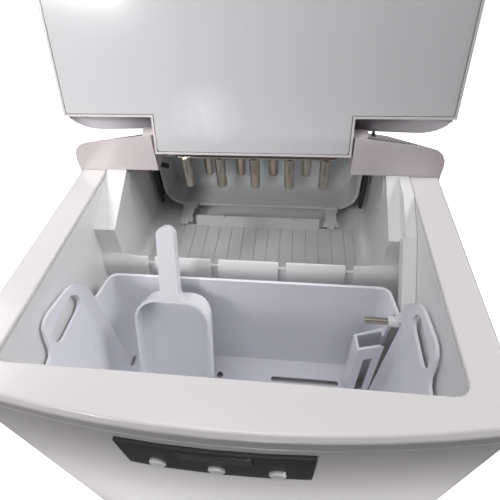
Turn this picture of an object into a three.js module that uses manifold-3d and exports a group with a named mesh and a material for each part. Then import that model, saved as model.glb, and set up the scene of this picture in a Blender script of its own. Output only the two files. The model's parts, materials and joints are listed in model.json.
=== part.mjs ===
// Portable countertop ice maker with its T-shaped lid open and its water tray tipped to drop the ice.
// Millimetres, +Z up, +X to the right seen from the front, +Y to the rear.
// Inside the machine group, z = 0 is the top of the deck round the cavity and y = 0 is the front face
// of the raised rear shoulders.

import * as THREE from 'three';
import { mergeVertices } from 'three/addons/utils/BufferGeometryUtils.js';
import Module from 'manifold-3d';

const wasm = await Module();
wasm.setup();

// ---- driving dimensions -------------------------------------------------------------------------

const DECK_H = 300; // height of the deck above the floor
const HALF_W = 148; // half of the body width
const FRONT_Y = -207; // middle of the bowed front
const REAR_Y = 141; // rear face
const BOW = 0.00071; // how fast the front bows back, y = FRONT_Y + BOW x^2
const FRONT_R = 10; // vertical front edges
const BACK_R = 18; // vertical rear edges
const SKIN = 2.6; // housing wall
const GAP = 0.3; // running gap between neighbours
const SLOPE = 0.51; // fall of the rear cover towards the back
const DECK_SKIRT = -12; // lower edge of the deck frame
const BASE_Z = -286; // underside of the base pan
const FOOT_H = 14;

const CAV_W = 124.7; // half width of the ice cavity
const CAV_Y = -178; // front wall of the cavity
const CAV_R = 8;
const CAV_Z = -175; // cavity floor
const WALL = 2.2; // liner wall
const BAY_W = 107; // half width of the freezing bay behind the lip
const BAY_Y = 92;
const BAY_Z = -85;
const LIP_Z = -50;
const LIP_Y = [-57.5, -52];
const NOTCH_XS = [-82, -28, 28, 82]; // finger notches across the lip

const LID_ANGLE = -107; // lid at rest, degrees about X from lying flat
const LID_EDGE = [7, 44.5]; // rear edge of the lid's wide part at rest, y and z
const HINGE = [17.0, 22.6]; // lid hinge axis, y and z
const LID_LEN = 204; // wide part of the lid
const TONGUE_LEN = 28.6;
const TONGUE_W = 77.3; // half width of the tongue
const NOTCH_W = 78.8; // half width of the notch in the rear cover
const NOTCH_Y = 34;

const TRAY_AXIS = [58, -19]; // y and z
const TRAY_W = 97;
const TRAY = { front: -56, rear: 4, rim: 11, floor: -27 }; // in the tray's level position, from its axis
const CLIP_AXIS = [44.2, -73.6];
const CLIP_X = 72;

const FINGER_R = 4.5;
const FINGER_PITCH = 30.16;
const FINGER_ROWS = [
  { y: 20.3, tip: -29.5, xs: [-2, -1, 0, 1, 2] },
  { y: 40.6, tip: -30, xs: [-1.5, -0.5, 0.5, 1.5] },
];
const PLATE_Z = [1.4, 2.9];

const BASKET_Z = -167.5;
const PIN = { y: -98.9, z: -56.3, r: 2.65 };

// ---- colours ------------------------------------------------------------------------------------

const paint = (color, roughness = 0.4, metalness = 0) =>
  new THREE.MeshStandardMaterial({ color, roughness, metalness });
const HOUSING = paint(0xe4dfe0, 0.35);
const LINER = paint(0xcfd1d3, 0.35);
const BASKET = paint(0xd3d3dc, 0.3);
const SCOOP = paint(0xe2e3e8, 0.3);
const TRAY_GREY = paint(0xa9acae, 0.35);
const STEEL = paint(0xb0a798, 0.25, 1);
const COPPER = paint(0xb4703f, 0.35, 1);
const BLACK = paint(0x222326, 0.6);
const MOTOR = paint(0x3b3d40, 0.5);
const GLASS = paint(0x0e1114, 0.1);
const BOARD = paint(0x1f5a36, 0.6);

// ---- helpers ------------------------------------------------------------------------------------

const solid = (geometry) => {
  const bare = geometry.index ? geometry.toNonIndexed() : geometry.clone();
  bare.deleteAttribute('normal');
  bare.deleteAttribute('uv');
  const merged = mergeVertices(bare, 1e-4);
  return new wasm.Manifold(new wasm.Mesh({
    numProp: 3,
    vertProperties: new Float32Array(merged.attributes.position.array),
    triVerts: new Uint32Array(merged.index.array),
  }));
};

const warp = (geometry, move) => {
  const p = geometry.attributes.position;
  const v = new THREE.Vector3();
  for (let i = 0; i < p.count; i += 1) {
    v.fromBufferAttribute(p, i);
    move(v);
    p.setXYZ(i, v.x, v.y, v.z);
  }
  return geometry;
};

const shapeOf = (points) => new THREE.Shape(points.map(([a, b]) => new THREE.Vector2(a, b)));

const extrude = (shape, depth, steps = 1) => new THREE.ExtrudeGeometry(
  Array.isArray(shape) ? shapeOf(shape) : shape,
  { depth, steps, bevelEnabled: false, curveSegments: 6 },
);

// Prisms: an outline in the plane across the named axis, between two places on that axis.
const prismZ = (outline, z0, z1, steps = 1) => extrude(outline, z1 - z0, steps).translate(0, 0, z0);
const prismX = (outline, x0, x1) => warp(extrude(outline, x1 - x0), (v) => v.set(v.z + x0, v.x, v.y));
const prismY = (outline, y0, y1, steps = 1) =>
  warp(extrude(outline, y1 - y0, steps), (v) => v.set(v.x, y1 - v.z, v.y));

const block = (x0, x1, y0, y1, z0, z1) => solid(
  new THREE.BoxGeometry(x1 - x0, y1 - y0, z1 - z0).translate((x0 + x1) / 2, (y0 + y1) / 2, (z0 + z1) / 2),
);

// Outline of a rectangle whose corners have their own radii, from the low corner round the left-hand way.
const rounded = (a0, a1, b0, b1, r, n = 5) => {
  const radii = Array.isArray(r) ? r : [r, r, r, r];
  const corners = [[a0, b0, 180], [a1, b0, 270], [a1, b1, 0], [a0, b1, 90]];
  const inward = [[1, 1], [-1, 1], [-1, -1], [1, -1]];
  return corners.flatMap(([a, b, start], i) => {
    const q = radii[i];
    if (q === 0) return [[a, b]];
    return Array.from({ length: n + 1 }, (_, k) => {
      const t = THREE.MathUtils.degToRad(start + (90 * k) / n);
      return [a + inward[i][0] * q + q * Math.cos(t), b + inward[i][1] * q + q * Math.sin(t)];
    });
  });
};

const rod = (axis, r, from, to, u, v, n = 24) => {
  const g = new THREE.CylinderGeometry(r, r, to - from, n);
  const mid = (from + to) / 2;
  if (axis === 'x') return solid(g.rotateZ(-Math.PI / 2).translate(mid, u, v));
  if (axis === 'y') return solid(g.translate(u, mid, v));
  return solid(g.rotateX(Math.PI / 2).translate(u, v, mid));
};

// A turned piece: [radius, height] pairs round +Z, closed on the axis.
const turned = (profile, n = 28) =>
  new THREE.LatheGeometry(profile.map(([r, h]) => new THREE.Vector2(r, h)), n).rotateX(Math.PI / 2);

const tube = (points, r, steps, tension = 0.3, n = 5) => {
  const path = new THREE.CatmullRomCurve3(points.map((p) => new THREE.Vector3(...p)), false, 'catmullrom', tension);
  const ring = new THREE.Shape();
  ring.absarc(0, 0, r, 0, Math.PI * 2, false);
  return new THREE.ExtrudeGeometry(ring, { steps, extrudePath: path, curveSegments: n, bevelEnabled: false });
};

const joined = (...parts) => parts.reduce((sum, part) => sum.add(part));

const machine = new THREE.Group();

const add = (name, shape, material, parent = machine) => {
  const body = shape instanceof THREE.BufferGeometry ? solid(shape) : shape;
  const mesh = body.getMesh();
  const geometry = new THREE.BufferGeometry();
  geometry.setAttribute('position', new THREE.BufferAttribute(new Float32Array(mesh.vertProperties), 3));
  geometry.setIndex(new THREE.BufferAttribute(new Uint32Array(mesh.triVerts), 1));
  geometry.computeVertexNormals();
  const node = new THREE.Mesh(geometry, material);
  node.name = name;
  parent.add(node);
  return node;
};

// ---- housing ------------------------------------------------------------------------------------

const frontAt = (x, inset) => FRONT_Y + inset + BOW * x * x;

const footprint = (inset) => {
  const w = HALF_W - inset;
  const front = Math.max(FRONT_R - inset, 4);
  const back = Math.max(BACK_R - inset, 4);
  const rear = REAR_Y - inset;
  const shape = new THREE.Shape();
  shape.moveTo(-w, frontAt(w, inset) + front);
  shape.quadraticCurveTo(-w, frontAt(w, inset), front - w, frontAt(w - front, inset));
  const spans = 10;
  for (let i = 1; i <= spans; i += 1) {
    const x = (w - front) * ((2 * i) / spans - 1);
    shape.lineTo(x, frontAt(x, inset));
  }
  shape.quadraticCurveTo(w, frontAt(w, inset), w, frontAt(w, inset) + front);
  shape.lineTo(w, rear - back);
  shape.absarc(w - back, rear - back, back, 0, Math.PI / 2, false);
  shape.lineTo(back - w, rear);
  shape.absarc(back - w, rear - back, back, Math.PI / 2, Math.PI, false);
  return shape;
};

const column = (inset, z0, z1) => solid(prismZ(footprint(inset), z0, z1));

const seam = DECK_SKIRT - GAP;
const belowSeam = solid(prismX(
  [[-260, BASE_Z - 10], [200, BASE_Z - 10], [200, seam - SLOPE * 200], [0, seam], [-260, seam]], -200, 200,
));
const wrap = column(0, BASE_Z, 0).subtract(column(SKIN, BASE_Z - 1, 1)).intersect(belowSeam);

const SEAM_FRONT = -170;
const SEAM_REAR = 118;
const BEZEL = { half: 52, z0: -56, z1: -20 };

const slotsX = (y0, y1, z0, pitch, count, x0, x1) => joined(...Array.from({ length: count }, (_, i) =>
  solid(prismX(rounded(y0, y1, z0 + i * pitch, z0 + i * pitch + 4, 1.9, 3), x0, x1))));

add('front_panel', wrap
  .intersect(block(-200, 200, -260, SEAM_FRONT, -320, 10))
  .subtract(block(-BEZEL.half - GAP, BEZEL.half + GAP, -260, -150, BEZEL.z0 - GAP, BEZEL.z1 + GAP)), HOUSING);

const sideRange = (x0, x1) => block(x0, x1, SEAM_FRONT + GAP, SEAM_REAR, -320, 10);
const DRAIN = { y: -120, z: -258, r: 11 };
add('side_panel_left', wrap.intersect(sideRange(-200, 0))
  .subtract(slotsX(-10, 80, -250, 11, 9, -160, -130))
  .subtract(rod('x', DRAIN.r + 0.4, -160, -130, DRAIN.y, DRAIN.z)), HOUSING);
add('side_panel_right', wrap.intersect(sideRange(0, 200))
  .subtract(slotsX(-10, 80, -250, 11, 9, 130, 160)), HOUSING);

const INLET = { x: 112, z: -258, w: 14.5, h: 11 };
const rearSlots = joined(...Array.from({ length: 9 }, (_, i) =>
  solid(prismY(rounded(-90, 80, -232 + i * 12, -227 + i * 12, 2.4, 3), 120, 160))));
add('rear_panel', wrap.intersect(block(-200, 200, SEAM_REAR + GAP, 200, -320, 10))
  .subtract(rearSlots)
  .subtract(block(INLET.x - INLET.w - GAP, INLET.x + INLET.w + GAP, 120, 160, INLET.z - INLET.h - GAP,
    INLET.z + INLET.h + GAP)), HOUSING);

const pan = column(SKIN + GAP, BASE_Z, BASE_Z + 16)
  .subtract(column(SKIN + GAP + 2, BASE_Z + 3, BASE_Z + 20));
add('base_pan', pan, MOTOR);

const FEET = [['front_left', -118, -165], ['front_right', 118, -165], ['rear_left', -118, 112],
  ['rear_right', 118, 112]];
for (const [name, x, y] of FEET) {
  add(`foot_${name}`, turned([[0, -DECK_H], [11, -DECK_H], [12.5, -DECK_H + 1.5], [14, BASE_Z - 2.5],
    [14, BASE_Z - 0.05], [0, BASE_Z - 0.05]]).translate(x, y, 0), BLACK);
}

// Deck frame: a flat rim round the cavity with a bevelled outer edge and a short skirt.
const LEVELS = [DECK_SKIRT, -3, 0];
const deckBlank = solid(warp(extrude(footprint(0), 2, 2), (v) => {
  const level = Math.round(v.z);
  const shrink = level === 2 ? 2.6 : 0;
  v.x *= 1 - shrink / HALF_W;
  v.y += v.y < 0 ? (shrink * v.y) / FRONT_Y : 0;
  v.z = LEVELS[level];
}));
const opening = solid(prismZ(rounded(-CAV_W, CAV_W, CAV_Y, 60, CAV_R), -20, 10));
add('deck_frame', deckBlank
  .subtract(column(SKIN, DECK_SKIRT - 1, -3))
  .subtract(opening)
  .intersect(block(-200, 200, -260, -GAP, -20, 10)), HOUSING);

// Rear cover: arched across, falling towards the back, with a notch for the lid's tongue.
const archTop = [[148, 10], [147, 15.5], [144, 20.5], [139.5, 24], [134, 25.8], [123.5, 27.4], [77, 33.5],
  [40, 35], [0, 35.4]];
const archProfile = (bottom, drop, narrow) => {
  const right = archTop.map(([x, z]) => [x * (1 - narrow / HALF_W), z - drop]);
  const left = right.slice(0, -1).reverse().map(([x, z]) => [-x, z]);
  return [[-(HALF_W - narrow), bottom], [HALF_W - narrow, bottom], ...right, ...left];
};
const sheared = (geometry) => solid(warp(geometry, (v) => {
  v.z -= SLOPE * v.y;
}));
const coverOuter = sheared(prismY(archProfile(DECK_SKIRT, 0, 0), 0, REAR_Y))
  .intersect(column(0, -200, 100));
const coverInner = sheared(prismY(archProfile(DECK_SKIRT - 10, 3, SKIN), SKIN, REAR_Y))
  .intersect(column(SKIN, -200, 100));
const notchWalls = joined(
  block(NOTCH_W, NOTCH_W + SKIN, 0, NOTCH_Y + SKIN, GAP, 60),
  block(-NOTCH_W - SKIN, -NOTCH_W, 0, NOTCH_Y + SKIN, GAP, 60),
  block(-NOTCH_W - SKIN, NOTCH_W + SKIN, NOTCH_Y, NOTCH_Y + SKIN, 10.5, 60),
);
const KNUCKLE_R = 7.2;
const knuckles = joined(
  rod('x', KNUCKLE_R, NOTCH_W, NOTCH_W + 11, ...HINGE),
  rod('x', KNUCKLE_R, -NOTCH_W - 11, -NOTCH_W, ...HINGE),
);
add('rear_cover', coverOuter.subtract(coverInner)
  .add(notchWalls.intersect(coverOuter))
  .subtract(block(-NOTCH_W, NOTCH_W, -1, NOTCH_Y, -30, 60))
  .subtract(block(-CAV_W + 0.2, CAV_W - 0.2, -1, SKIN + 0.01, -30, GAP))
  .add(knuckles)
  .subtract(rod('x', 3.05, -NOTCH_W - 9, NOTCH_W + 9, ...HINGE)), HOUSING);

// ---- liner --------------------------------------------------------------------------------------

// The space inside the liner, grown outwards by o: the ice cavity, the gate over the lip, the freezing bay
// behind it.
const cavity = (o) => {
  const front = solid(prismX([
    [CAV_Y - o, 20], [CAV_Y - o, CAV_Z - o], [LIP_Y[0] + o, CAV_Z - o], [LIP_Y[0] + o, -59], [-56.7 + o, -55],
    [-54.6 + o, -51.6], [-52 + o, -48], [-50.4 + o, -42], [-50 + o, -36], [-50 + o, -23 - o * 0.64],
    [o * 0.5, -o], [o * 0.5 + 4, 20],
  ], -CAV_W - o, CAV_W + o))
    .intersect(solid(prismZ(rounded(-CAV_W - o, CAV_W + o, CAV_Y - o, 80, CAV_R + o), -300, 50)));
  const gate = solid(prismY(rounded(-BAY_W - o, BAY_W + o, LIP_Z - o, 20, [12 + o, 12 + o, 0, 0], 7), -54,
    LIP_Y[1] + 1));
  const bay = solid(prismY(rounded(-BAY_W - o, BAY_W + o, BAY_Z - o, 20, [12 + o, 12 + o, 0, 0], 7),
    LIP_Y[1] - o, BAY_Y + o));
  return joined(front, gate, bay);
};

const LINER_TOP = -3.3;
const CHEEK_W = CAV_W - 0.4;
const linerTop = solid(prismX([[-260, -320], [200, -320], [200, 22 - SLOPE * 200],
  [(22 - LINER_TOP) / SLOPE, LINER_TOP], [-260, LINER_TOP]], -200, 200))
  .add(block(-CHEEK_W, CHEEK_W, -30, 40, -30, 0));
const notchCuts = joined(...NOTCH_XS.flatMap((x) => [
  solid(prismY(rounded(x - 3.25, x + 3.25, LIP_Z - 6, 0, [1, 1, 0, 0], 2), -60, LIP_Y[1] + 4)),
  block(x - 3.25, x + 3.25, -60, LIP_Y[1] - 2.2, LIP_Z - 32, LIP_Z),
]));
const linerBody = cavity(WALL)
  .add(block(-BAY_W + 0.1, BAY_W - 0.1, LIP_Y[0] + 0.5, LIP_Y[1] - 0.5, -84, LIP_Z - 0.5))
  .add(block(-136, 136, -188, -1, LINER_TOP - 2, LINER_TOP))
  .subtract(cavity(0));
const bosses = joined(
  rod('x', 9, BAY_W - 2.2, BAY_W + 0.2, ...TRAY_AXIS),
  rod('x', 9, -BAY_W - 0.2, -BAY_W + 2.2, ...TRAY_AXIS),
);
const FLOOR_HOLE = { x: -30, y: -130, r: 15 };
add('inner_liner', linerBody
  .add(bosses)
  .subtract(notchCuts)
  .subtract(rod('x', 3.1, -120, 120, ...TRAY_AXIS))
  .subtract(rod('y', 5.6, 85, 100, -101.3, -32, 16))
  .subtract(rod('y', 5.6, 85, 100, 101.3, -32, 16))
  .subtract(rod('z', FLOOR_HOLE.r, CAV_Z - 5, CAV_Z + 2, FLOOR_HOLE.x, FLOOR_HOLE.y))
  .subtract(rod('z', 6, BAY_Z - 5, BAY_Z + 2, 0, -20))
  .intersect(linerTop), LINER);

const tankOuter = solid(prismZ(rounded(-118, 118, -172, -62, 10), -238, CAV_Z - WALL - GAP));
const tankInner = solid(prismZ(rounded(-115.8, 115.8, -169.8, -64.2, 8), -235.8, -150));
add('reservoir_tank', tankOuter.subtract(tankInner), LINER);

// ---- ice slide ----------------------------------------------------------------------------------

const SLIDE = { w: 92, y0: -42, y1: 18, z: -76.2, t: 2 };
const ribbed = () => {
  const pitch = 12;
  const top = [];
  for (let i = -7; i <= 7; i += 1) {
    const x = i * pitch;
    top.push([x - 0.7, SLIDE.z], [x, SLIDE.z - 0.9], [x + 0.7, SLIDE.z]);
  }
  return [[-SLIDE.w, SLIDE.z - SLIDE.t], [SLIDE.w, SLIDE.z - SLIDE.t], [SLIDE.w, SLIDE.z], ...top.reverse(),
    [-SLIDE.w, SLIDE.z]];
};
const slidePlan = solid(prismZ(rounded(-SLIDE.w, SLIDE.w, SLIDE.y0, SLIDE.y1, [3, 3, 5, 5]), -90, -60));
const band = solid(prismX([[14, SLIDE.z - SLIDE.t], [18.6, SLIDE.z - SLIDE.t], [22.6, -67.2], [20.2, -66.4],
  [16.4, SLIDE.z]], -60.5, 60.5));
const pips = joined(rod('y', 1.8, 19, 22, -33, -66.6, 12), rod('y', 1.8, 19, 22, 36, -66.6, 12));
const struts = joined(...[-70, 70].map((x) => block(x - 2, x + 2, -30, 6, BAY_Z + 0.05, SLIDE.z - 1)));
add('ice_slide', solid(prismY(ribbed(), SLIDE.y0, SLIDE.y1)).intersect(slidePlan).add(band).add(pips).add(struts),
  TRAY_GREY);

// ---- evaporator ---------------------------------------------------------------------------------

let fingerNumber = 0;
for (const row of FINGER_ROWS) {
  for (const step of row.xs) {
    fingerNumber += 1;
    const top = PLATE_Z[0] - 0.05;
    add(`finger_${fingerNumber}`, turned([[0, row.tip], [FINGER_R * 0.55, row.tip], [FINGER_R * 0.86, row.tip + 0.7],
      [FINGER_R, row.tip + 2.2], [FINGER_R, top], [0, top]], 24).translate(step * FINGER_PITCH, row.y, 0), STEEL);
  }
}
add('evaporator_plate', prismZ(rounded(-70, 70, 17, 46.5, 5), ...PLATE_Z), STEEL);
const TUBE_R = 2;
const tubeHalf = [[101.3, 100, -37.5], [101.3, 75, -18], [101.3, 60, -9], [99, 46, 0.2], [88, 41, 5.2], [45, 41, 5.2]];
const tubePath = [...tubeHalf.map(([x, y, z]) => [-x, y, z]), [0, 41, 5.2], ...[...tubeHalf].reverse()];
add('evaporator_tube', tube(tubePath, TUBE_R, 44), COPPER);

// ---- water tray, clips and drive ----------------------------------------------------------------

const trayGroup = new THREE.Group();
trayGroup.position.set(0, ...TRAY_AXIS);
trayGroup.rotation.x = Math.PI / 2;
machine.add(trayGroup);

const trayShell = (o, z1) => solid(prismZ(
  rounded(-TRAY_W + o, TRAY_W - o, TRAY.front + o, TRAY.rear - o, [20 - o, 20 - o, 7 - o, 7 - o], 6), -60, z1,
)).intersect(solid(prismX(
  rounded(TRAY.front + o, TRAY.rear - o, TRAY.floor + o, 40, [17 - o, 12 - o, 0, 0], 6), -120, 120,
)));
const trayRim = solid(prismZ(
  rounded(-TRAY_W - 1, TRAY_W + 1, TRAY.front - 1, TRAY.rear + 1, [21, 21, 8, 8], 6), TRAY.rim - 2.4, TRAY.rim,
));
add('water_tray', trayShell(0, TRAY.rim).add(trayRim).subtract(trayShell(2, TRAY.rim + 5))
  .subtract(rod('x', 2.7, -TRAY_W - 2, -TRAY_W + 8, 0, 0))
  .subtract(rod('x', 2.7, TRAY_W - 8, TRAY_W + 2, 0, 0))
  .add(joined(
    rod('x', 6, -TRAY_W - 0.8, -TRAY_W + 1, 0, 0).subtract(rod('x', 2.7, -TRAY_W - 2, -TRAY_W + 8, 0, 0)),
    rod('x', 6, TRAY_W - 1, TRAY_W + 0.8, 0, 0).subtract(rod('x', 2.7, TRAY_W - 8, TRAY_W + 2, 0, 0)),
  )), TRAY_GREY, trayGroup);
add('tray_pivot_pin', rod('x', 2.5, -BAY_W - 4, -TRAY_W + 1.6, ...TRAY_AXIS, 20), STEEL);
add('tray_drive_shaft', rod('x', 2.5, TRAY_W - 1.6, BAY_W + 12, ...TRAY_AXIS, 20), STEEL);
add('tray_gear_motor', block(BAY_W + 4, 131, 44, 68, -52, -12.5)
  .add(rod('z', 9.5, -68, -51, 121, 56))
  .subtract(rod('x', 2.8, BAY_W, BAY_W + 13, ...TRAY_AXIS)), MOTOR);

const clipPlate = [[-3.4, -27], [3.4, -27], [3.4, -23.5], [7.2, -23.5], [7.2, -18.5], [5.4, -18.5], [5.4, -3],
  [7.4, -3], [7.4, 1.8], [-7.4, 1.8], [-7.4, -3], [-5.4, -3], [-5.4, -18.5], [-7.2, -18.5], [-7.2, -23.5],
  [-3.4, -23.5]];
for (const [name, side] of [['left', -1], ['right', 1]]) {
  const plate = prismZ(clipPlate.map(([a, b]) => [a + side * CLIP_X, b - 1.9]), -1, 1)
    .translate(0, CLIP_AXIS[0], CLIP_AXIS[1]);
  const bar = rod('x', 1.9, side * CLIP_X - 7.4, side * CLIP_X + 7.4, ...CLIP_AXIS, 14);
  add(`tray_clip_${name}`, solid(plate).add(bar), TRAY_GREY);
}

add('water_hose', tube([[-101, 44, -70], [-101, 44, -40], [-101, 42, -18], [-101.6, 36, -9], [-100.4, 28, -6.4],
  [-91, 20, -3.6], [-83, 14.6, -3.1], [-74, 10.6, -2.9]], 2.2, 30), BLACK);
add('return_hose', tube([[101, 44, -70], [101, 44, -40], [101, 42, -18], [101.6, 36, -9], [100.4, 28, -6.4],
  [96, 22, -4]], 2.2, 24), BLACK);

// ---- ice basket and scoop -----------------------------------------------------------------------

const BASKET_TOP = -18;
const basketPlan = (o) => {
  const shape = new THREE.Shape();
  const rear = -73 - o;
  const front = -172 + o;
  const r1 = 9 - o;
  const r2 = 14 - o;
  // Right-hand side wall from the rear corner forwards: straight, then a jog outwards to the flap.
  const side = [[112 - o, rear - r1], [115.2 - o, -100.2 - 0.55 * o], [121.2 - o, -104.4 - 0.55 * o],
    [122.8 - o, -110 - 0.4 * o], [123.2 - o, front + r2]];
  shape.moveTo(-(111.5 - o - r1), rear);
  shape.quadraticCurveTo(-(111.5 - o), rear, -side[0][0], side[0][1]);
  side.slice(1).forEach(([x, y]) => shape.lineTo(-x, y));
  shape.quadraticCurveTo(-(123.2 - o), front, -(123.2 - o - r2), front);
  shape.lineTo(123.2 - o - r2, front);
  shape.quadraticCurveTo(123.2 - o, front, ...side[4]);
  side.slice(0, -1).reverse().forEach(([x, y]) => shape.lineTo(x, y));
  shape.quadraticCurveTo(111.5 - o, rear, 111.5 - o - r1, rear);
  return shape;
};
const basketTaper = (geometry) => solid(warp(geometry, (v) => {
  const s = 1 - (0.045 * (BASKET_TOP - v.z)) / (BASKET_TOP - BASKET_Z);
  v.x *= s;
  v.y = -123 + (v.y + 123) * s;
}));
const basketEdge = [[-60, -48.5], [-96.5, -48.5], [-98.8, -47.7], [-100.2, -45], [-101.4, -31.5], [-102.8, -27.8],
  [-105.8, -25.4], [-112, -23.6], [-134, -19.2], [-139.5, -19.4], [-144, -22], [-147, -28], [-150, -38],
  [-153.5, -41.8], [-158, -43], [-185, -43]];
const basketAbove = solid(prismX([[-185, 20], ...[...basketEdge].reverse(), [-60, 20]], -140, 140));
const CHANNEL_TOP = -83;
const channelOuter = [[86.6, -94.8], [88, -108.8], [118, -101], [118, -84]];
const channelInner = [[88.8, -95.8], [89.8, -106.2], [108.2, -101.6], [108.2, -90.2]];
const basketDepth = (plan, z0, z1) => basketTaper(prismZ(plan, z0, z1));
const basketOuter = basketDepth(basketPlan(0), BASKET_Z, BASKET_TOP);
const basketInner = basketDepth(basketPlan(2.2), BASKET_Z + 2.2, BASKET_TOP + 3);
const channelWalls = solid(prismZ(channelOuter, BASKET_Z, CHANNEL_TOP)).intersect(basketOuter);
const handleHole = rounded(-143.5, -107, -45.5, -29.8, 7.4, 7);
const handleHoles = joined(solid(prismX(handleHole, 100, 140)), solid(prismX(handleHole, -140, -100)));
const boss = { r: 4.1, y0: PIN.y - 4.5, y1: PIN.y + 4.5, top: PIN.z + 4.5 };
const basketDrain = joined(
  rod('x', 4.8, -125, -95, -98.5, -147, 20),
  rod('z', 3, -180, -160, -28, -97, 14),
  solid(prismZ(rounded(21, 84, -99.5, -94.5, 2.4, 3), -180, -160)),
);
add('ice_basket', basketOuter.subtract(basketInner)
  .subtract(basketAbove)
  .add(channelWalls)
  .subtract(solid(prismZ(channelInner, -180, CHANNEL_TOP + 10)))
  .subtract(block(105.8, 130, boss.y0, boss.y1, -180, boss.top))
  .subtract(block(95.5, 102.5, -112, -99, -158, -100))
  .subtract(handleHoles)
  .subtract(basketDrain), BASKET);

const scoopGroup = new THREE.Group();
scoopGroup.position.set(-53.3, -150.4, -156.5);
scoopGroup.rotation.set(...[-26.7, -0.8, -3].map(THREE.MathUtils.degToRad));
machine.add(scoopGroup);
const BOWL = { w: 30.4, len: 119.2, back: 16.6 };
const bowl = (o) => solid(prismZ(
  rounded(-BOWL.w + o, BOWL.w - o, -50, BOWL.back - o, [0, 0, 11 - o, 11 - o], 8), -10, BOWL.len + 5,
)).intersect(solid(prismY(
  rounded(-BOWL.w + o, BOWL.w - o, -20, BOWL.len - o, [0, 0, 19 - o, 19 - o], 10), -60, 40,
)));
const bowlRange = solid(prismX([[0, 34], [2.4, 20], [7, 8], [13, 0.5], [20, 0.5], [20, 122], [0, 122]], -60, 60));
const handleOutline = (o) => {
  const shape = new THREE.Shape();
  shape.moveTo(-19 + o, 113);
  shape.lineTo(19 - o, 113);
  shape.bezierCurveTo(10.5 - o, 117.5, 7.4 - o, 120, 7.1 - o, 129);
  shape.lineTo(6.7 - o, 170.4);
  shape.absarc(0, 170.6, 6.7 - o, 0, Math.PI, false);
  shape.lineTo(-7.1 + o, 129);
  shape.bezierCurveTo(-7.4 + o, 120, -10.5 + o, 117.5, -19 + o, 113);
  return shape;
};
add('ice_scoop', bowl(0).subtract(bowl(2)).intersect(bowlRange)
  .add(solid(prismY(handleOutline(0), 0, 7.3)).subtract(bowl(1)))
  .subtract(solid(prismY(handleOutline(2), 2.2, 10)).intersect(block(-20, 20, 0, 20, 121.5, 180))), SCOOP, scoopGroup);

// ---- ice-full sensor ----------------------------------------------------------------------------

const ductPath = [[-2, 4.45], [-52.2, -18.0], [-97.6, -55.9]];
const strip = (from, to, r) => {
  const t = Math.atan2(to[1] - from[1], to[0] - from[0]);
  const [c, s] = [Math.cos(t) * r, Math.sin(t) * r];
  return [[from[0] + s, from[1] - c], [to[0] + s, to[1] - c], [to[0] - s, to[1] + c], [from[0] - s, from[1] + c]];
};
const DUCT_X = [116.6, CAV_W - 0.3];
const DUCT_END_X = 114.7; // inner face at the lower end
const DUCT_R = 4.6;
const duct = joined(
  solid(prismX(strip(ductPath[0], ductPath[1], DUCT_R), ...DUCT_X)),
  rod('x', DUCT_R, ...DUCT_X, ...ductPath[1]),
  solid(prismX(strip(ductPath[1], ductPath[2], DUCT_R), DUCT_END_X, DUCT_X[1])),
  rod('x', DUCT_R, DUCT_END_X, DUCT_X[1], ...ductPath[2]),
);
add('sensor_duct', duct
  .intersect(block(100, 130, -120, 20, -90, -GAP))
  .add(rod('x', boss.r, 106.3, 117, PIN.y, PIN.z, 20))
  .subtract(rod('x', PIN.r + 0.1, 100, 110, PIN.y, PIN.z, 20)), LINER);
add('sensor_pin', rod('x', PIN.r, 90.4, 109.8, PIN.y, PIN.z, 20), STEEL);

// ---- lid ----------------------------------------------------------------------------------------

const lidGroup = new THREE.Group();
lidGroup.position.set(0, ...LID_EDGE);
lidGroup.rotation.x = THREE.MathUtils.degToRad(LID_ANGLE);
machine.add(lidGroup);

const LIP_LEN = 14.5;
const RIM = 1.7; // wall of the lid's edge
const PANEL_INSET = RIM + GAP;
const LID_RISE = -2.0; // lid's arch against the rear cover's
const lidArch = (bottom, drop, narrow) => archProfile(bottom, drop - LID_RISE, narrow);
const lidPlan = (o, rear) => {
  const shape = new THREE.Shape();
  const w = HALF_W - o;
  const front = (x) => -LID_LEN + o + BOW * x * x;
  const r = 10;
  const corner = { x: 21 - o, y: 11.5 }; // swept rear corners
  shape.moveTo(-w, front(w) + r);
  shape.quadraticCurveTo(-w, front(w), r - w, front(w - r));
  const spans = 10;
  for (let i = 1; i <= spans; i += 1) {
    const x = (w - r) * ((2 * i) / spans - 1);
    shape.lineTo(x, front(x));
  }
  shape.quadraticCurveTo(w, front(w), w, front(w) + r);
  shape.lineTo(w, rear - corner.y);
  shape.quadraticCurveTo(w - 3, rear, w - corner.x, rear);
  shape.lineTo(corner.x - w, rear);
  shape.quadraticCurveTo(3 - w, rear, -w, rear - corner.y);
  return shape;
};
const lidTaper = (geometry) => warp(geometry, (v) => {
  if (v.z > 1 && v.y < 0) {
    const t = -v.y / LID_LEN;
    v.z *= 1 - 0.3 * t * t;
  }
});
const lidBlank = solid(lidTaper(prismY(lidArch(-0.3, 0, 0), -LID_LEN - 6, LIP_LEN, 6)))
  .intersect(solid(prismZ(lidPlan(0, LIP_LEN), -10, 60)));
const underLip = solid(prismY(lidArch(-10, 3, -0.4), 0, LIP_LEN + 5));
const tongueSolid = (o, low) => solid(prismX([[-6, low], [TONGUE_LEN - o, low], [TONGUE_LEN - o, 12 - o * 0.4],
  [17.5 - o * 0.4, 31.4 - o], [-6, 31.4 - o]], -TONGUE_W + o, TONGUE_W - o));
const UNDERCUT = 2.7; // how far the rear wall stands back behind the rim, to pass the cover's front edge
const lidHollow = solid(lidTaper(prismY(lidArch(-5, 2.8, RIM), -LID_LEN - 6, -RIM - UNDERCUT, 6)))
  .add(block(-HALF_W + RIM, HALF_W - RIM, -10, -RIM, -5, 2.8))
  .intersect(solid(prismZ(lidPlan(RIM, 20), -10, 60)));
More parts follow.
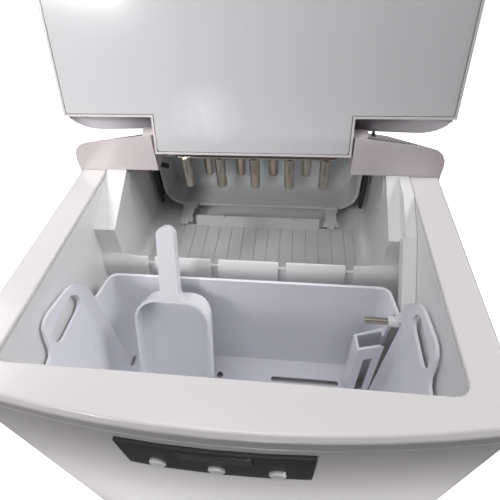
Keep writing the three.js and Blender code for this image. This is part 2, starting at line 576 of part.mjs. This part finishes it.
const toLid = ([y, z]) => {
  const a = THREE.MathUtils.degToRad(-LID_ANGLE);
  const [dy, dz] = [y - LID_EDGE[0], z - LID_EDGE[1]];
  return [dy * Math.cos(a) - dz * Math.sin(a), dy * Math.sin(a) + dz * Math.cos(a)];
};
const hingeInLid = toLid(HINGE);
const lidBosses = joined(
  rod('x', 6, 58, TONGUE_W - 1, ...hingeInLid),
  rod('x', 6, -TONGUE_W + 1, -58, ...hingeInLid),
);
const swingClearance = joined(
  rod('x', 18 + UNDERCUT - 0.2, TONGUE_W, HALF_W + 2, ...hingeInLid, 48),
  rod('x', 18 + UNDERCUT - 0.2, -HALF_W - 2, -TONGUE_W, ...hingeInLid, 48),
).intersect(solid(prismY(lidArch(-10, 3, -0.4), -6, LIP_LEN + 5)));
add('lid_outer_shell', lidBlank
  .subtract(underLip.subtract(block(-TONGUE_W, TONGUE_W, -5, 40, -20, 80)))
  .add(tongueSolid(0, -0.3))
  .subtract(lidHollow)
  .subtract(swingClearance)
  .subtract(tongueSolid(RIM, -5))
  .add(lidBosses)
  .subtract(rod('x', 3, -90, 90, ...hingeInLid)), HOUSING, lidGroup);

const innerT = solid(prismZ(lidPlan(PANEL_INSET, 20), 0.2, 2.4))
  .intersect(block(-150, 150, -260, -PANEL_INSET, -5, 10))
  .add(solid(prismZ(rounded(-TONGUE_W + PANEL_INSET, TONGUE_W - PANEL_INSET, -8, TONGUE_LEN - PANEL_INSET,
    [0, 0, 2, 2], 3), 0.2, 2.4)));
add('lid_inner_panel', innerT, LINER, lidGroup);
add('hinge_pin_left', rod('x', 2.8, -NOTCH_W - 8, -60, ...HINGE, 20), STEEL);
add('hinge_pin_right', rod('x', 2.8, 60, NOTCH_W + 8, ...HINGE, 20), STEEL);

// ---- controls -----------------------------------------------------------------------------------

const bezelRange = block(-BEZEL.half, BEZEL.half, -260, -150, BEZEL.z0, BEZEL.z1);
const DISPLAY = { x0: -20, x1: 20, z0: -35, z1: -24 };
const BUTTONS = [['power', -33], ['size', 0], ['timer', 33]];
const BUTTON_Z = -46;
let bezel = column(-1.6, -60, -10).subtract(column(3, -61, -9)).intersect(bezelRange)
  .subtract(column(-3, -60, -10).subtract(column(0.4, -61, -9))
    .intersect(block(DISPLAY.x0 - GAP, DISPLAY.x1 + GAP, -260, -150, DISPLAY.z0 - GAP, DISPLAY.z1 + GAP)));
for (const [, x] of BUTTONS) bezel = bezel.subtract(rod('y', 5.4, -230, -190, x, BUTTON_Z));
add('control_bezel', bezel, BLACK);
add('display_window', column(-1.9, -60, -10).subtract(column(0.1, -61, -9))
  .intersect(block(DISPLAY.x0, DISPLAY.x1, -260, -150, DISPLAY.z0, DISPLAY.z1)), GLASS);
for (const [name, x] of BUTTONS) {
  const y = frontAt(x, 0);
  const cap = new THREE.LatheGeometry([[0, -3.4], [3.8, -3.4], [4.9, -2.6], [4.9, 3.5], [6.6, 3.5], [6.6, 5],
    [0, 5]].map(([r, h]) => new THREE.Vector2(r, h)), 24);
  add(`button_${name}`, cap.translate(x, y, BUTTON_Z), paint(0xd8d8da, 0.4));
}
add('control_board', block(-48, 48, -196, -194.4, -58, -18), BOARD);

// ---- machinery ----------------------------------------------------------------------------------

const BASE_TOP = BASE_Z + 3;
add('compressor', turned([[0, BASE_TOP + 0.1], [40, BASE_TOP + 0.1], [40, BASE_TOP + 4], [44, BASE_TOP + 8],
  [46, -262], [47, -225], [45, -195], [38, -178], [26, -169], [10, -165], [0, -164.5]], 36)
  .translate(-72, 32, 0), BLACK);

const fins = () => {
  const pts = [];
  for (let i = 0; i <= 18; i += 1) {
    const x = -90 + i * 10;
    pts.push([x - 0.5, 110], [x + 0.5, 110], [x + 0.5, 130]);
    if (i < 18) pts.push([x + 9.5, 130]);
  }
  return [...pts, [90.5, 132], [-90.5, 132]];
};
add('condenser', prismZ(fins(), -264, -124), STEEL);
const FAN = { x: 40, z: -196 };
const shroud = block(FAN.x - 52, FAN.x + 52, 92, 106, FAN.z - 52, FAN.z + 52)
  .subtract(rod('y', 47, 88, 110, FAN.x, FAN.z, 40));
const fanStruts = joined(block(FAN.x - 51, FAN.x + 51, 92, 94, FAN.z - 3, FAN.z + 3),
  block(FAN.x - 3, FAN.x + 3, 92, 94, FAN.z - 51, FAN.z + 51), rod('y', 15, 92, 95, FAN.x, FAN.z));
const fanFoot = block(FAN.x - 50, FAN.x + 50, 95, 103, BASE_TOP + 0.1, FAN.z - 51);
add('fan_shroud', joined(shroud, fanStruts, fanFoot), BLACK);
const blade = (k) => {
  const g = new THREE.BoxGeometry(31, 1.6, 22).translate(27.5, 0, 0).rotateX(0.42)
    .rotateY((k * Math.PI * 2) / 7);
  return solid(g.translate(FAN.x, 100.6, FAN.z));
};
add('fan_rotor', joined(rod('y', 14, 95.4, 105.6, FAN.x, FAN.z), ...Array.from({ length: 7 }, (_, k) => blade(k))),
  MOTOR);

add('water_pump', turned([[0, -235.7], [19, -235.7], [19, -212], [15, -208], [6, -208], [6, -196], [0, -196]], 24)
  .translate(60, -130, 0), MOTOR);
add('float_rod', turned([[0, -235.7], [7, -235.7], [7, -234], [2, -234], [2, -186], [0, -186]], 16)
  .translate(-85, -110, 0), LINER);
add('level_float', solid(turned([[0, -228], [9, -228], [10.5, -226.5], [10.5, -213.5], [9, -212], [0, -212]], 24)
  .translate(-85, -110, 0)).subtract(rod('z', 2.4, -240, -180, -85, -110, 16)), BLACK);

const inletOuter = block(INLET.x - INLET.w, INLET.x + INLET.w, 122, REAR_Y, INLET.z - INLET.h, INLET.z + INLET.h);
const inletWell = block(INLET.x - 11.5, INLET.x + 11.5, 126, REAR_Y + 2, INLET.z - 8, INLET.z + 8);
const inletPins = joined(...[[-6, -1.5], [0, 2], [6, -1.5]].map(([dx, dz]) =>
  block(INLET.x + dx - 1.1, INLET.x + dx + 1.1, 125, 137, INLET.z + dz - 2, INLET.z + dz + 2)));
add('power_inlet', inletOuter.subtract(inletWell).add(inletPins), BLACK);

const cap = new THREE.LatheGeometry([[0, -6], [4, -6], [4, -1], [6.5, -1], [6.5, 0], [DRAIN.r, 0], [DRAIN.r, 5],
  [DRAIN.r - 1, 6], [0, 6]].map(([r, h]) => new THREE.Vector2(r, h)), 28);
add('drain_cap', cap.rotateZ(Math.PI / 2).translate(-HALF_W + 6.05, DRAIN.y, DRAIN.z), BLACK);

// ---- placing ------------------------------------------------------------------------------------

const BUTTON_REACH = 3.4; // how far the buttons stand out in front
machine.position.set(0, -(FRONT_Y - BUTTON_REACH + REAR_Y) / 2, DECK_H);
export default machine;
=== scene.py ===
# Portable ice maker: looks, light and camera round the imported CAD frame. Metres, +Z up, front at -Y.

import json
import math

import bmesh
import bpy
from mathutils import Matrix, Vector


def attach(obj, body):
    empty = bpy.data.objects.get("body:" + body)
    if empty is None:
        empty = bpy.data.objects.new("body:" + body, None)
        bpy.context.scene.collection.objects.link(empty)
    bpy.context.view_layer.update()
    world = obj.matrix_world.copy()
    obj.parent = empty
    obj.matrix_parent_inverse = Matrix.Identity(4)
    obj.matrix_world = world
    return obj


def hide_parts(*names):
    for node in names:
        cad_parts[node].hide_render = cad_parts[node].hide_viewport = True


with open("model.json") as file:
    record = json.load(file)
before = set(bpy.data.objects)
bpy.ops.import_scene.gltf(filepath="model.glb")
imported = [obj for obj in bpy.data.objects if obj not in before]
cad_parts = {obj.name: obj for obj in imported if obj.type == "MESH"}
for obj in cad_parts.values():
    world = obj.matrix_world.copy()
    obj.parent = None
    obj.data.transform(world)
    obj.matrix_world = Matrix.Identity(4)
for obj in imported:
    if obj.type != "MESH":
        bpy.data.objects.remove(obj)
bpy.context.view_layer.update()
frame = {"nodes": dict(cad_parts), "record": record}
NODES = frame["nodes"]
MM = 0.001

# The machine's own zero: the deck's top, and the front face of the rear shoulders.
DECK = Vector((0.0, 0.0347, 0.3))


def at(x, y, z):
    """A place given in millimetres from the machine's own zero."""
    return DECK + Vector((x, y, z)) * MM


def add_object(name, data):
    """A new object in the scene's own collection."""
    o = bpy.data.objects.new(name, data)
    bpy.context.scene.collection.objects.link(o)
    return o


# ---- material parts ------------------------------------------------------------------------------

NOISE_FILLS = (0.15, 0.85)  # nearly all of a noise texture's values lie in this range
GLOSS_BLOTCHES = 6  # the gloss varies over spots this many times finer than the colour's
COAT_ROUGH = 0.08
PLASTIC_GRAIN_DEPTH = 0.4 * MM
METAL_GRAIN_DEPTH = 0.3 * MM
METAL_PATCH_SCALE = 60


def new_material(name):
    m = bpy.data.materials.new(name)
    m.use_nodes = True
    m.node_tree.nodes.clear()
    out = m.node_tree.nodes.new("ShaderNodeOutputMaterial")
    bsdf = m.node_tree.nodes.new("ShaderNodeBsdfPrincipled")
    m.node_tree.links.new(bsdf.outputs[0], out.inputs[0])
    return m, m.node_tree, bsdf


def object_place(tree, scale=None, location=None):
    """Coordinates that stay with the object, moved and stretched where asked."""
    place = tree.nodes.new("ShaderNodeTexCoord").outputs["Object"]
    if scale is None:
        return place
    mapping = tree.nodes.new("ShaderNodeMapping")
    mapping.inputs["Scale"].default_value = scale
    if location is not None:
        mapping.inputs["Location"].default_value = location
    tree.links.new(place, mapping.inputs["Vector"])
    return mapping.outputs[0]


def noise(tree, scale, detail=3.0, rough=0.5, stretch=None):
    n = tree.nodes.new("ShaderNodeTexNoise")
    n.inputs["Scale"].default_value = scale
    n.inputs["Detail"].default_value = detail
    n.inputs["Roughness"].default_value = rough
    tree.links.new(object_place(tree, stretch), n.inputs["Vector"])
    return n.outputs["Fac"]


def spread(tree, value, low, high):
    """A noise value stretched over low to high."""
    r = tree.nodes.new("ShaderNodeMapRange")
    r.inputs["From Min"].default_value, r.inputs["From Max"].default_value = NOISE_FILLS
    r.inputs["To Min"].default_value = low
    r.inputs["To Max"].default_value = high
    tree.links.new(value, r.inputs["Value"])
    return r.outputs[0]


def scaled(color, factor):
    return [min(1.0, c * factor) for c in color]


def tint(tree, bsdf, fac, dark, light):
    """Base colour that goes from dark to light with fac."""
    mix = tree.nodes.new("ShaderNodeMix")
    mix.data_type = "RGBA"
    mix.inputs["A"].default_value = (*dark, 1)
    mix.inputs["B"].default_value = (*light, 1)
    tree.links.new(fac, mix.inputs["Factor"])
    tree.links.new(mix.outputs["Result"], bsdf.inputs["Base Color"])


def relief(tree, bsdf, height, strength, depth):
    """Surface bump from a height value."""
    bump = tree.nodes.new("ShaderNodeBump")
    bump.inputs["Strength"].default_value = strength
    bump.inputs["Distance"].default_value = depth
    tree.links.new(height, bump.inputs["Height"])
    tree.links.new(bump.outputs[0], bsdf.inputs["Normal"])


# ---- materials -----------------------------------------------------------------------------------


def plastic(name, color, rough=0.3, grain=900, bump=0.012, blotch=8, vary=0.01, coat=0.0):
    """Moulded plastic: faint flow marks in the colour, uneven gloss and a fine surface grain."""
    m, t, b = new_material(name)
    flow = noise(t, blotch, 4.0)
    tint(t, b, spread(t, flow, 0.0, 1.0), scaled(color, 1 - vary), scaled(color, 1 + vary))
    gloss = noise(t, blotch * GLOSS_BLOTCHES, 2.0)
    t.links.new(spread(t, gloss, rough * 0.95, rough * 1.06), b.inputs["Roughness"])
    relief(t, b, noise(t, grain, 2.0), bump, PLASTIC_GRAIN_DEPTH)
    b.inputs["IOR"].default_value = 1.5
    b.inputs["Coat Weight"].default_value = coat
    b.inputs["Coat Roughness"].default_value = COAT_ROUGH
    return m


def metal(name, color, rough, stretch=(1, 1, 0.04), grain=700, vary=0.12):
    """Drawn or turned metal: streaks along the working direction, with duller patches."""
    m, t, b = new_material(name)
    streak = noise(t, grain, 4.0, 0.6, stretch)
    patch = noise(t, METAL_PATCH_SCALE)
    tint(t, b, spread(t, patch, 0.0, 1.0), scaled(color, 1 - vary), scaled(color, 1 + vary))
    t.links.new(spread(t, streak, rough * 0.75, rough * 1.35), b.inputs["Roughness"])
    b.inputs["Metallic"].default_value = 1.0
    relief(t, b, streak, 0.05, METAL_GRAIN_DEPTH)
    return m


def lid_film(name, color, scale, location):
    """The lid's inner panel: glossy white, with a soft crease in its protective film left of the middle."""
    m, t, b = new_material(name)
    blob = t.nodes.new("ShaderNodeTexGradient")
    blob.gradient_type = "SPHERICAL"
    t.links.new(object_place(t, scale, location), blob.inputs["Vector"])
    wrinkle = noise(t, 60, 3.0, 0.55, (1.0, 1.0, 0.25))
    amount = t.nodes.new("ShaderNodeMath")
    amount.operation = "MULTIPLY"
    amount.use_clamp = True
    t.links.new(blob.outputs["Fac"], amount.inputs[0])
    t.links.new(spread(t, wrinkle, 0.25, 1.7), amount.inputs[1])
    tint(t, b, amount.outputs[0], color, scaled(color, 1.25))
    relief(t, b, amount.outputs[0], 0.10, 2 * MM)
    b.inputs["Roughness"].default_value = 0.16
    b.inputs["Coat Weight"].default_value = 0.5
    b.inputs["Coat Roughness"].default_value = 0.05
    return m


def lip_painted_shade(name, near, far, reach):
    """Underside of the lid's rear lip: painted shade, dark close to the tongue and brighter towards the outer
    corners.
    """
    m, t, b = new_material(name)
    axes = t.nodes.new("ShaderNodeSeparateXYZ")
    t.links.new(object_place(t), axes.inputs[0])
    side = t.nodes.new("ShaderNodeMath")
    side.operation = "ABSOLUTE"
    t.links.new(axes.outputs["X"], side.inputs[0])
    fade = t.nodes.new("ShaderNodeMapRange")
    fade.interpolation_type = "SMOOTHSTEP"
    fade.inputs["From Min"].default_value, fade.inputs["From Max"].default_value = reach
    t.links.new(side.outputs[0], fade.inputs["Value"])
    tint(t, b, fade.outputs[0], near, far)
    b.inputs["Roughness"].default_value = 0.2
    b.inputs["Coat Weight"].default_value = 0.3
    return m


HOUSING = dict(rough=0.24, grain=700, blotch=5, vary=0.008, coat=0.25)
PLASTICS = {
    "housing_white": dict(color=(0.735, 0.705, 0.71), **HOUSING),
    "cover_white": dict(color=(0.72, 0.655, 0.66), **HOUSING),
    "slide_grey": dict(color=(0.50, 0.505, 0.505), grain=800, bump=0.015, blotch=9, vary=0.015),
    "liner_white": dict(color=(0.80, 0.80, 0.802), blotch=6, coat=0.1),
    "basket_white": dict(color=(0.85, 0.85, 0.90), rough=0.26, grain=800, blotch=9, vary=0.012, coat=0.1),
    "scoop_white": dict(color=(0.79, 0.80, 0.83), rough=0.24, blotch=9, coat=0.1),
    "tray_grey": dict(color=(0.60, 0.61, 0.615), rough=0.28, grain=800, bump=0.015, blotch=9, vary=0.02),
    "teal_dark": dict(color=(0.006, 0.02, 0.028), rough=0.5, grain=1200, bump=0.02, blotch=20, vary=0.1),
    "black_rubber": dict(color=(0.028, 0.028, 0.03), rough=0.6, grain=1200, bump=0.12, blotch=30, vary=0.2),
    "black_plastic": dict(color=(0.03, 0.031, 0.034), rough=0.4, grain=1500, bump=0.08, blotch=20, vary=0.12),
    "black_enamel": dict(color=(0.035, 0.036, 0.04), grain=500, bump=0.06, blotch=20, vary=0.15, coat=0.4),
    "display_glass": dict(color=(0.012, 0.016, 0.02), rough=0.06, grain=300, bump=0.004, vary=0.1, coat=0.6),
    "button_grey": dict(color=(0.66, 0.66, 0.68), rough=0.32, grain=1200, bump=0.03, blotch=40, vary=0.02),
    "green_board": dict(color=(0.03, 0.16, 0.07), rough=0.35, grain=700, bump=0.1, blotch=60, vary=0.2),
}
METALS = {
    "finger_steel": dict(color=(0.54, 0.49, 0.43), rough=0.12),
    "copper_tube": dict(color=(0.78, 0.45, 0.29), rough=0.3, stretch=(1, 1, 1), grain=400, vary=0.15),
    "fin_aluminium": dict(color=(0.70, 0.71, 0.72), rough=0.35),
}
MATERIALS = {name: plastic(name, **finish) for name, finish in PLASTICS.items()}
MATERIALS.update({name: metal(name, **finish) for name, finish in METALS.items()})
MATERIALS["lid_panel"] = lid_film(
    "lid_panel", (0.66, 0.655, 0.67), scale=(33.3, 12.5, 41.7), location=(1.13, -0.53, -14.43))
# The lip's colour is painted shade: dark near the tongue, light towards the outer corners.
MATERIALS["lip_painted_shade"] = lip_painted_shade(
    "lip_painted_shade", near=(0.17, 0.17, 0.195), far=(0.80, 0.79, 0.83), reach=(75 * MM, 138 * MM))

# A node is finished in its CAD material slot, apart from the three that look different from their slot.
SLOT = {s["node"]: s["material_slot"] for s in frame["record"]["subparts"]}
LOOK = dict(SLOT, lid_inner_panel="lid_panel", rear_cover="cover_white", ice_slide="slide_grey")

# ---- shaping helpers -----------------------------------------------------------------------------


def shade_by_angle(bm, sharp):
    """Shade every face smooth, with hard edges where two faces meet at more than `sharp` degrees."""
    for face in bm.faces:
        face.smooth = True
    for edge in bm.edges:
        if len(edge.link_faces) == 2:
            edge.smooth = edge.calc_face_angle(0) < math.radians(sharp)


def round_edges(piece, width, segments, sharp):
    bevel = piece.modifiers.new("round", "BEVEL")
    bevel.width = width
    bevel.segments = segments
    bevel.limit_method = "ANGLE"
    bevel.angle_limit = math.radians(sharp)
    return bevel


# ---- carried-over nodes, cleaned and rounded -----------------------------------------------------

WELD = 0.002 * MM
FLAT = 0.6  # degrees: faces that meet at less than this are one flat face
SHARP = 24
SOFT = {"ice_basket": 52, "ice_scoop": 40, "inner_liner": 34, "water_tray": 40}
ROUND = {
    "housing_white": 1.1, "liner_white": 0.9, "basket_white": 0.9, "scoop_white": 0.9, "tray_grey": 0.6,
    "finger_steel": 0.25, "black_plastic": 0.4, "black_rubber": 0.5, "black_enamel": 0.5, "button_grey": 0.4,
    "fin_aluminium": 0.12, "display_glass": 0.3, "copper_tube": 0.0, "green_board": 0.1,
}

# The open lid's own axes start at its rim's edge and are turned about X.
LID_OPEN = math.radians(-107)
LID_EDGE = at(0, 7, 44.5)
LIP_PAST_RIM = 0.5 * MM
LIP_ABOVE_RIM = 6 * MM
LIP_FACING_DOWN = -0.3


def lid_turned(y, z):
    return y * math.cos(LID_OPEN) + z * math.sin(LID_OPEN), z * math.cos(LID_OPEN) - y * math.sin(LID_OPEN)


def paint_lip_shade(mesh):
    """Give the underside of the lid's rear lip its own material, the mesh's second, whose colour is painted
    shade.
    """
    mesh.materials.append(MATERIALS["lip_painted_shade"])
    for polygon in mesh.polygons:
        step = polygon.center - LID_EDGE
        past, above = lid_turned(step.y, step.z)
        facing = lid_turned(polygon.normal.y, polygon.normal.z)[1]
        if past > LIP_PAST_RIM and above > LIP_ABOVE_RIM and facing < LIP_FACING_DOWN:
            polygon.material_index = 1


def body_of(node):
    for name, members in frame["record"]["behaviour"]["bodies"].items():
        if node in members:
            return name
    raise KeyError(node)


def refine(node, sharp):
    """A cleaned copy of a CAD node: flat faces merged, edges rounded, curved walls shaded smooth."""
    mesh = NODES[node].data.copy()
    mesh.materials.clear()
    mesh.materials.append(MATERIALS[LOOK[node]])
    bm = bmesh.new()
    bm.from_mesh(mesh)
    bmesh.ops.remove_doubles(bm, verts=bm.verts, dist=WELD)
    bmesh.ops.dissolve_limit(
        bm, angle_limit=math.radians(FLAT), verts=bm.verts, edges=bm.edges, use_dissolve_boundaries=False)
    shade_by_angle(bm, sharp)
    bm.to_mesh(mesh)
    bm.free()
    # The lid shell's rear lip gets painted shade on its underside.
    if node == "lid_outer_shell":
        paint_lip_shade(mesh)
    if "custom_normal" in mesh.attributes:
        mesh.attributes.remove(mesh.attributes["custom_normal"])
    piece = add_object(node + "_finished", mesh)
    if ROUND[SLOT[node]] > 0:
        bevel = round_edges(piece, ROUND[SLOT[node]] * MM, 3, sharp)
        bevel.harden_normals = True
        bevel.miter_outer = "MITER_ARC"
    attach(piece, body_of(node))
    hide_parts(node)


for node_name in NODES:
    refine(node_name, SOFT.get(node_name, SHARP))

# ---- trim that the CAD leaves out, and black strips of painted shadow ----------------------------

TRIM_SHARP = 40
TRIM_ROUND = 0.3
CORNER_SEGMENTS = 6


def trim(name, y_range, z_range, along, thickness, material, corner=0.0):
    """A thin rectangular strip on the housing, upright along Y and thick along X, edges rounded."""
    (front, back), (low, high) = y_range, z_range
    bm = bmesh.new()
    outline = ((front, low), (back, low), (back, high), (front, high))
    ring = [bm.verts.new(at(along, y, z)) for y, z in outline]
    pushed = bmesh.ops.extrude_face_region(bm, geom=[bm.faces.new(ring)])
    for v in pushed["geom"]:
        if isinstance(v, bmesh.types.BMVert):
            v.co.x += thickness * MM
    if corner:
        half = 0.5 * abs(thickness) * MM
        sides = [e for e in bm.edges if abs(e.verts[0].co.x - e.verts[1].co.x) > half]
        bmesh.ops.bevel(
            bm, geom=sides, offset=corner * MM, segments=CORNER_SEGMENTS, profile=0.5, affect="EDGES")
    bmesh.ops.recalc_face_normals(bm, faces=bm.faces)
    shade_by_angle(bm, TRIM_SHARP)
    mesh = bpy.data.meshes.new(name)
    bm.to_mesh(mesh)
    bm.free()
    mesh.materials.append(MATERIALS[material])
    piece = add_object(name, mesh)
    round_edges(piece, min(TRIM_ROUND, abs(thickness) * 0.4) * MM, 2, TRIM_SHARP)
    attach(piece, "housing")


BAY_WALL = 106.9
for side, name in ((-1, "left"), (1, "right")):
    wall = side * BAY_WALL
    # A black strip on each bay wall beside the tray: painted shadow for the dark gap there, not a real seal.
    trim("bay_shadow_pad_" + name, (60, 78.5), (-76, -3), wall, -side * 1.6, "black_rubber")
    trim("bay_panel_" + name, (-4, 38), (-41, -3), wall, -side * 0.6, "liner_white", corner=11)
trim("sensor_shade", (-108, -92), (-160, -60), 124.3, -1.2, "teal_dark", corner=3)

# ---- camera --------------------------------------------------------------------------------------

EYE = at(35.2, -267.4, 189.9)
YAW, PITCH, ROLL = -0.152, 0.806, -0.066
SENSOR, LENS = 36, 28.4112

look = Vector((math.sin(YAW) * math.cos(PITCH), math.cos(YAW) * math.cos(PITCH), -math.sin(PITCH)))
level = Vector((math.cos(YAW), -math.sin(YAW), 0))
rise = level.cross(look)
right = level * math.cos(ROLL) + rise * math.sin(ROLL)
up = rise * math.cos(ROLL) - level * math.sin(ROLL)
camera = bpy.data.cameras.new("camera")
camera.sensor_width = SENSOR
camera.lens = LENS
camera.clip_start = 10 * MM
camera_object = add_object("camera", camera)
turn = Matrix((right, up, -look)).transposed().to_4x4()
camera_object.matrix_world = Matrix.Translation(EYE) @ turn
bpy.context.scene.camera = camera_object

# ---- floor and backdrop --------------------------------------------------------------------------

FLOOR_REACH = 6
BACKDROP = 1.0  # the white that the camera sees behind the machine
AMBIENT = 0.10  # the light that the room gives

corners = [(x * FLOOR_REACH, y * FLOOR_REACH, 0) for x, y in ((-1, -1), (1, -1), (1, 1), (-1, 1))]
floor_mesh = bpy.data.meshes.new("floor")
floor_mesh.from_pydata(corners, [], [(0, 1, 2, 3)])
floor_material, floor_tree, floor_bsdf = new_material("floor")
floor_bsdf.inputs["Base Color"].default_value = (0.93, 0.93, 0.93, 1)
floor_bsdf.inputs["Emission Color"].default_value = (1, 1, 1, 1)
floor_bsdf.inputs["Emission Strength"].default_value = BACKDROP
floor_bsdf.inputs["Roughness"].default_value = 0.9
floor_mesh.materials.append(floor_material)
floor = add_object("floor", floor_mesh)
floor.visible_diffuse = False
floor.visible_glossy = False

world = bpy.data.worlds.new("world")
bpy.context.scene.world = world
world.use_nodes = True
world_tree = world.node_tree
background = world_tree.nodes["Background"]
background.inputs["Color"].default_value = (0.97, 0.98, 1.0, 1)
background.inputs["Strength"].default_value = AMBIENT
backdrop = world_tree.nodes.new("ShaderNodeBackground")
backdrop.inputs["Color"].default_value = (1, 1, 1, 1)
backdrop.inputs["Strength"].default_value = BACKDROP
path = world_tree.nodes.new("ShaderNodeLightPath")
choose = world_tree.nodes.new("ShaderNodeMixShader")
world_tree.links.new(path.outputs["Is Camera Ray"], choose.inputs[0])
world_tree.links.new(background.outputs[0], choose.inputs[1])
world_tree.links.new(backdrop.outputs[0], choose.inputs[2])
world_tree.links.new(choose.outputs[0], world_tree.nodes["World Output"].inputs[0])

# ---- lights --------------------------------------------------------------------------------------


def area(name, place, target, size, power, color=(1, 1, 1), spread_angle=math.pi):
    """A rectangular lamp aimed at a target; places and sizes in metres, power in watts."""
    light = bpy.data.lights.new(name, "AREA")
    light.shape = "RECTANGLE"
    light.size, light.size_y = size
    light.energy = power
    light.color = color
    light.spread = spread_angle
    o = add_object(name, light)
    o.location = place
    o.rotation_mode = "QUATERNION"
    o.rotation_quaternion = (Vector(target) - Vector(place)).to_track_quat("-Z", "Y")


LAMPS = {
    "key": dict(place=(-0.50, -0.65, 0.80), target=(-0.17, 0.03, 0.38), size=(0.2, 0.2), power=0.27,
                color=(1, 0.985, 0.985), spread_angle=0.62),
    "right": dict(place=(1.0, 0.12, 1.05), target=(-0.05, -0.05, 0.25), size=(0.6, 0.5), power=8.8),
    "left": dict(place=(-1.0, 0.16, 1.05), target=(0.05, -0.05, 0.25), size=(0.6, 0.5), power=3.4),
    "top": dict(place=(0.0, -0.25, 1.5), target=(0, -0.05, 0.3), size=(1.2, 1.2), power=2.2),
    "down": dict(place=(-0.05, -0.16, 0.85), target=(-0.03, -0.1, 0.2), size=(0.35, 0.25), power=0.95),
}
for name, lamp in LAMPS.items():
    area(name, **lamp)

# Four narrow lamps near the floor light the housing's sides and hardly reach past the deck.
LOW_REACH, LOW_HEIGHT = 1.3, 0.1
for name, x, y in (("front", 0, -1), ("back", 0, 1), ("west", -1, 0), ("east", 1, 0)):
    place = (x * LOW_REACH, y * LOW_REACH, LOW_HEIGHT)
    area("low_" + name, place, (0, 0, LOW_HEIGHT), (0.5, 0.1), 0.55, spread_angle=0.36)

view = bpy.context.scene.view_settings
view.view_transform = "Standard"
view.look = "None"
